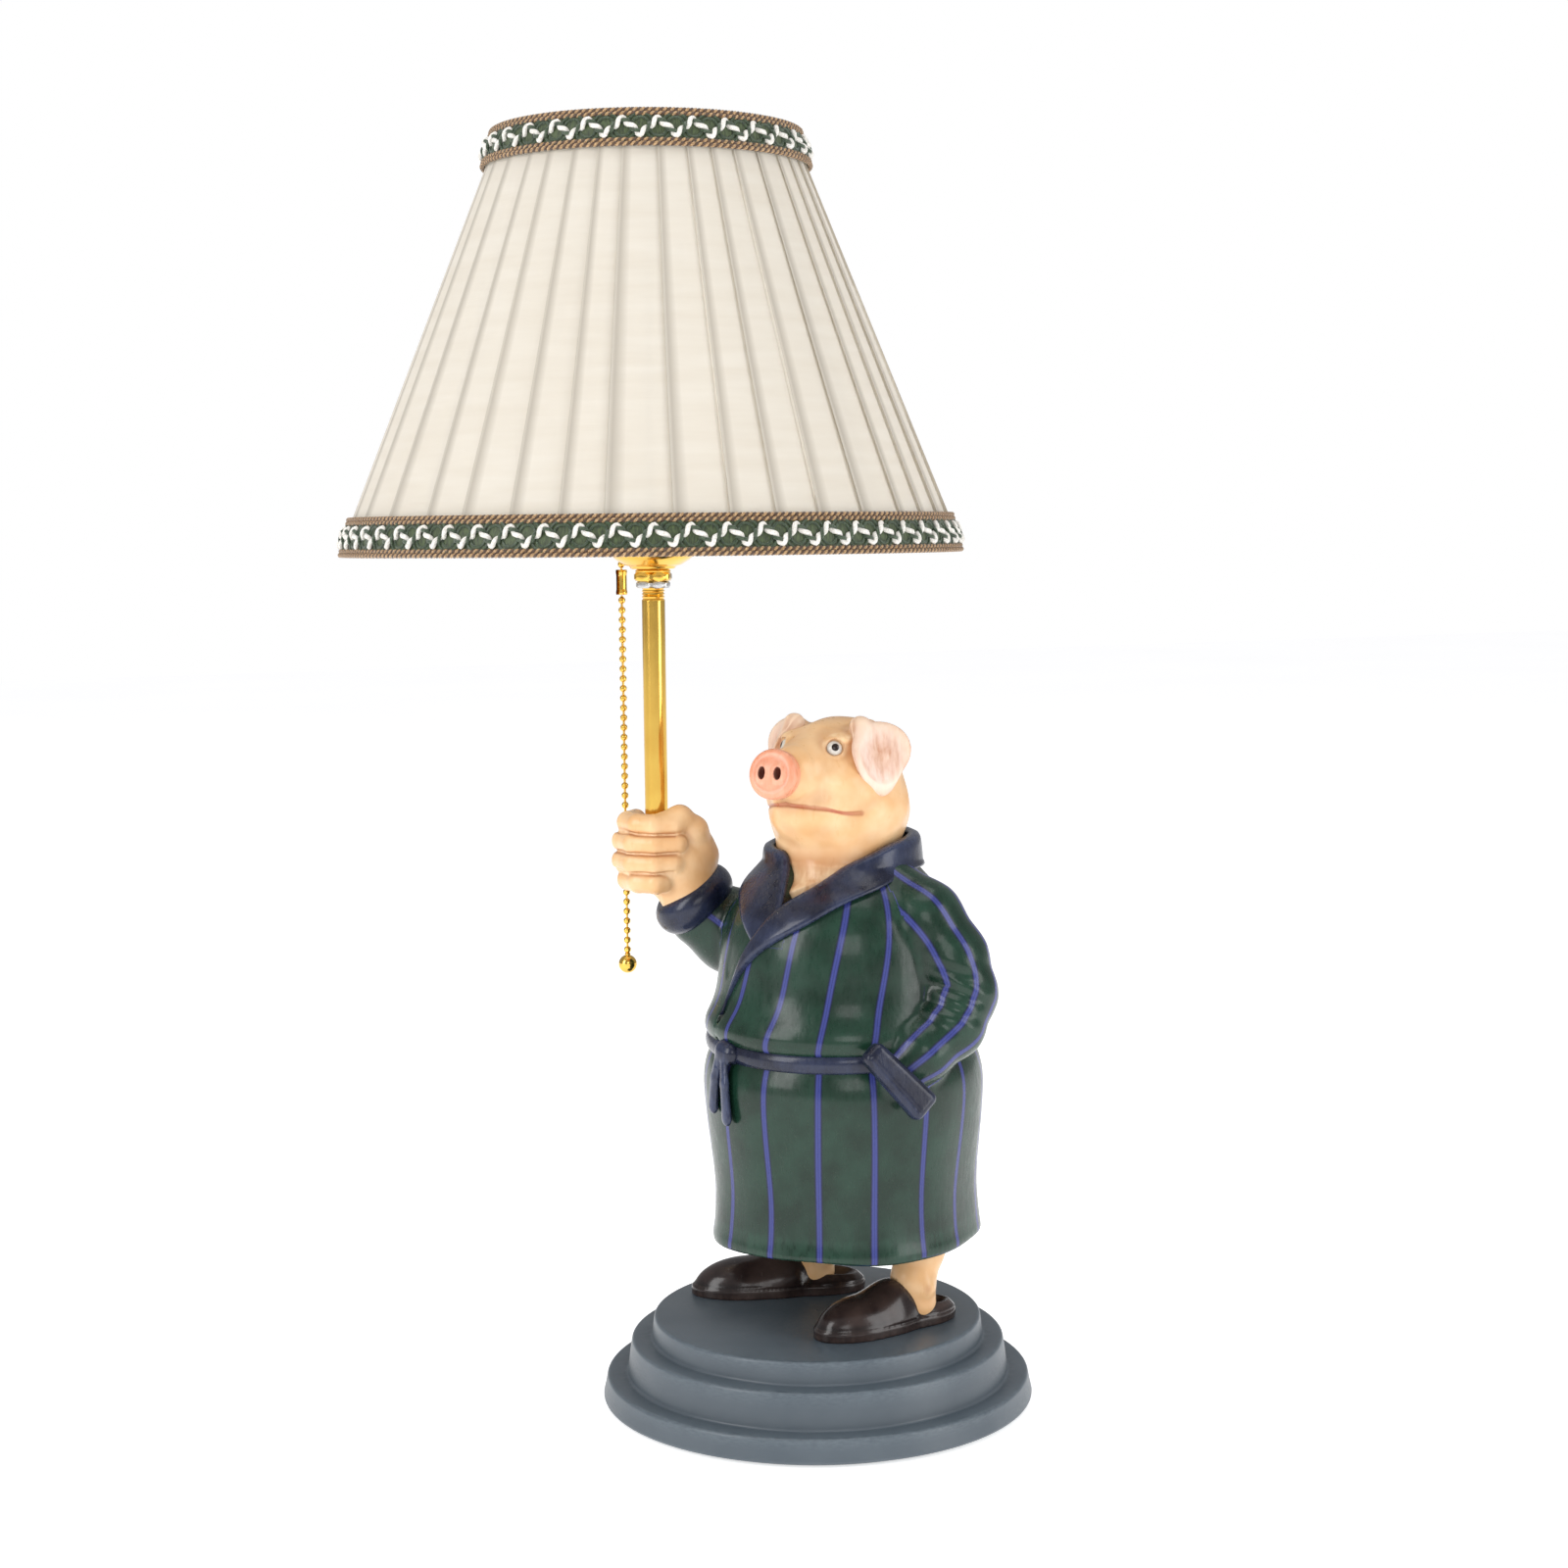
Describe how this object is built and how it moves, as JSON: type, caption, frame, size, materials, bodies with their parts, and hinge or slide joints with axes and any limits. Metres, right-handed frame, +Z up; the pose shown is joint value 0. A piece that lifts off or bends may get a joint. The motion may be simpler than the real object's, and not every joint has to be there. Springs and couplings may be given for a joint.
{
  "type": "figural table lamp",
  "caption": "Table lamp with a standing pig in a dressing gown that grips the brass tube of a pull-chain lampholder with a pleated cream shade.",
  "frame": {"origin": "centre of the base's underside, on the surface it stands on", "axes": "+Z up; the pig faces -Y, so its left hand is on +X"},
  "size_m": [0.2779, 0.2788, 0.544],
  "materials": {
    "plinth_paint": "satin paint over cast resin",
    "felt": "felt",
    "bush_plastic": "moulded",
    "steel": "zinc plated",
    "brass": "polished and lacquered",
    "liner_card": "fibre card",
    "phenolic": "moulded phenolic",
    "aluminium_shell": "rolled thread",
    "bulb_glass": "frosted",
    "shade_fabric": "pleated fine-ribbed fabric",
    "shade_lining": "plain lining",
    "braid": "woven braid",
    "frame_wire": "white coated wire",
    "eye_paint": "gloss paint",
    "snout_paint": "painted resin",
    "skin_paint": "painted resin",
    "navy_paint": "painted resin",
    "robe_paint": "painted resin",
    "slipper_paint": "painted resin"
  },
  "bodies": {
    "lamp_body": {"base_plinth": "plinth_paint", "felt_pad": "felt", "cord_bush": "bush_plastic", "figure_screws": "steel", "fist_insert": "brass", "lamp_pole": "brass", "pole_nut": "steel", "neck_collar": "brass", "socket_cap": "brass", "socket_shell": "brass", "insulating_liner": "liner_card", "socket_core": "phenolic", "terminal_screws": "steel", "lever_pin": "steel", "return_spring": "steel", "screw_shell": "aluminium_shell", "centre_contact": "brass", "chain_spout": "brass", "ring_nut": "phenolic", "eye_left": "eye_paint", "eye_right": "eye_paint", "snout": "snout_paint", "head": "skin_paint", "ear_left": "skin_paint", "ear_right": "skin_paint", "shawl_collar": "navy_paint", "fist_right": "skin_paint", "cuff_right": "navy_paint", "cuff_left": "navy_paint", "belt": "navy_paint", "belt_ends": "navy_paint", "sleeve_right": "robe_paint", "sleeve_left": "robe_paint", "robe_body": "robe_paint", "slipper_left": "slipper_paint", "slipper_right": "slipper_paint", "leg_left": "skin_paint", "leg_right": "skin_paint"},
    "shade_body": {"shade_fabric": "shade_fabric", "shade_lining": "shade_lining", "braid_bottom": "braid", "braid_top": "braid", "shade_bottom_ring": "frame_wire", "shade_top_ring": "frame_wire", "shade_ribs": "frame_wire", "fitter_ring": "frame_wire", "fitter_arms": "frame_wire"},
    "bulb_body": {"bulb_base": "aluminium_shell", "bulb_glass": "bulb_glass"},
    "lever_body": {"switch_lever": "steel"},
    "link_body": {"pull_link": "brass"},
    "upper_chain_body": {"chain_upper": "brass", "chain_coupling": "brass"},
    "lower_chain_body": {"chain_lower": "brass", "chain_ball": "brass"}
  },
  "joints": [
    {"name": "shade_turn", "type": "hinge", "parent": "lamp_body", "child": "shade_body", "pos_m": [-0.0505, -0.0514, 0.405], "axis": [0, 0, 1], "continuous": true},
    {"name": "bulb_turn", "type": "hinge", "parent": "lamp_body", "child": "bulb_body", "pos_m": [-0.0505, -0.0514, 0.4], "axis": [0, 0, 1], "continuous": true},
    {"name": "chain_pull", "type": "slide", "parent": "lamp_body", "child": "link_body", "axis": [0, 0, -1], "range_m": [0, 0.007], "stiffness_N_per_m": 200, "springref_m": -0.006},
    {"name": "chain_swing_out", "type": "hinge", "parent": "link_body", "child": "upper_chain_body", "pos_m": [-0.07587, -0.0561, 0.379], "axis": [-0.1822, 0.9833, 0], "range_deg": [-1, 25]},
    {"name": "chain_swing_side", "type": "hinge", "parent": "upper_chain_body", "child": "lower_chain_body", "pos_m": [-0.07587, -0.0561, 0.34735], "axis": [-0.9833, -0.1822, 0], "range_deg": [-8, 25]},
    {"name": "lever_turn", "type": "hinge", "parent": "lamp_body", "child": "lever_body", "pos_m": [-0.05738, -0.05268, 0.377], "axis": [0.1822, -0.9833, 0], "range_deg": [0, 57.3]}
  ],
  "couplings": [
    {"joint": "lever_turn", "follows": "chain_pull", "rad_per_m": 142.86}
  ]
}
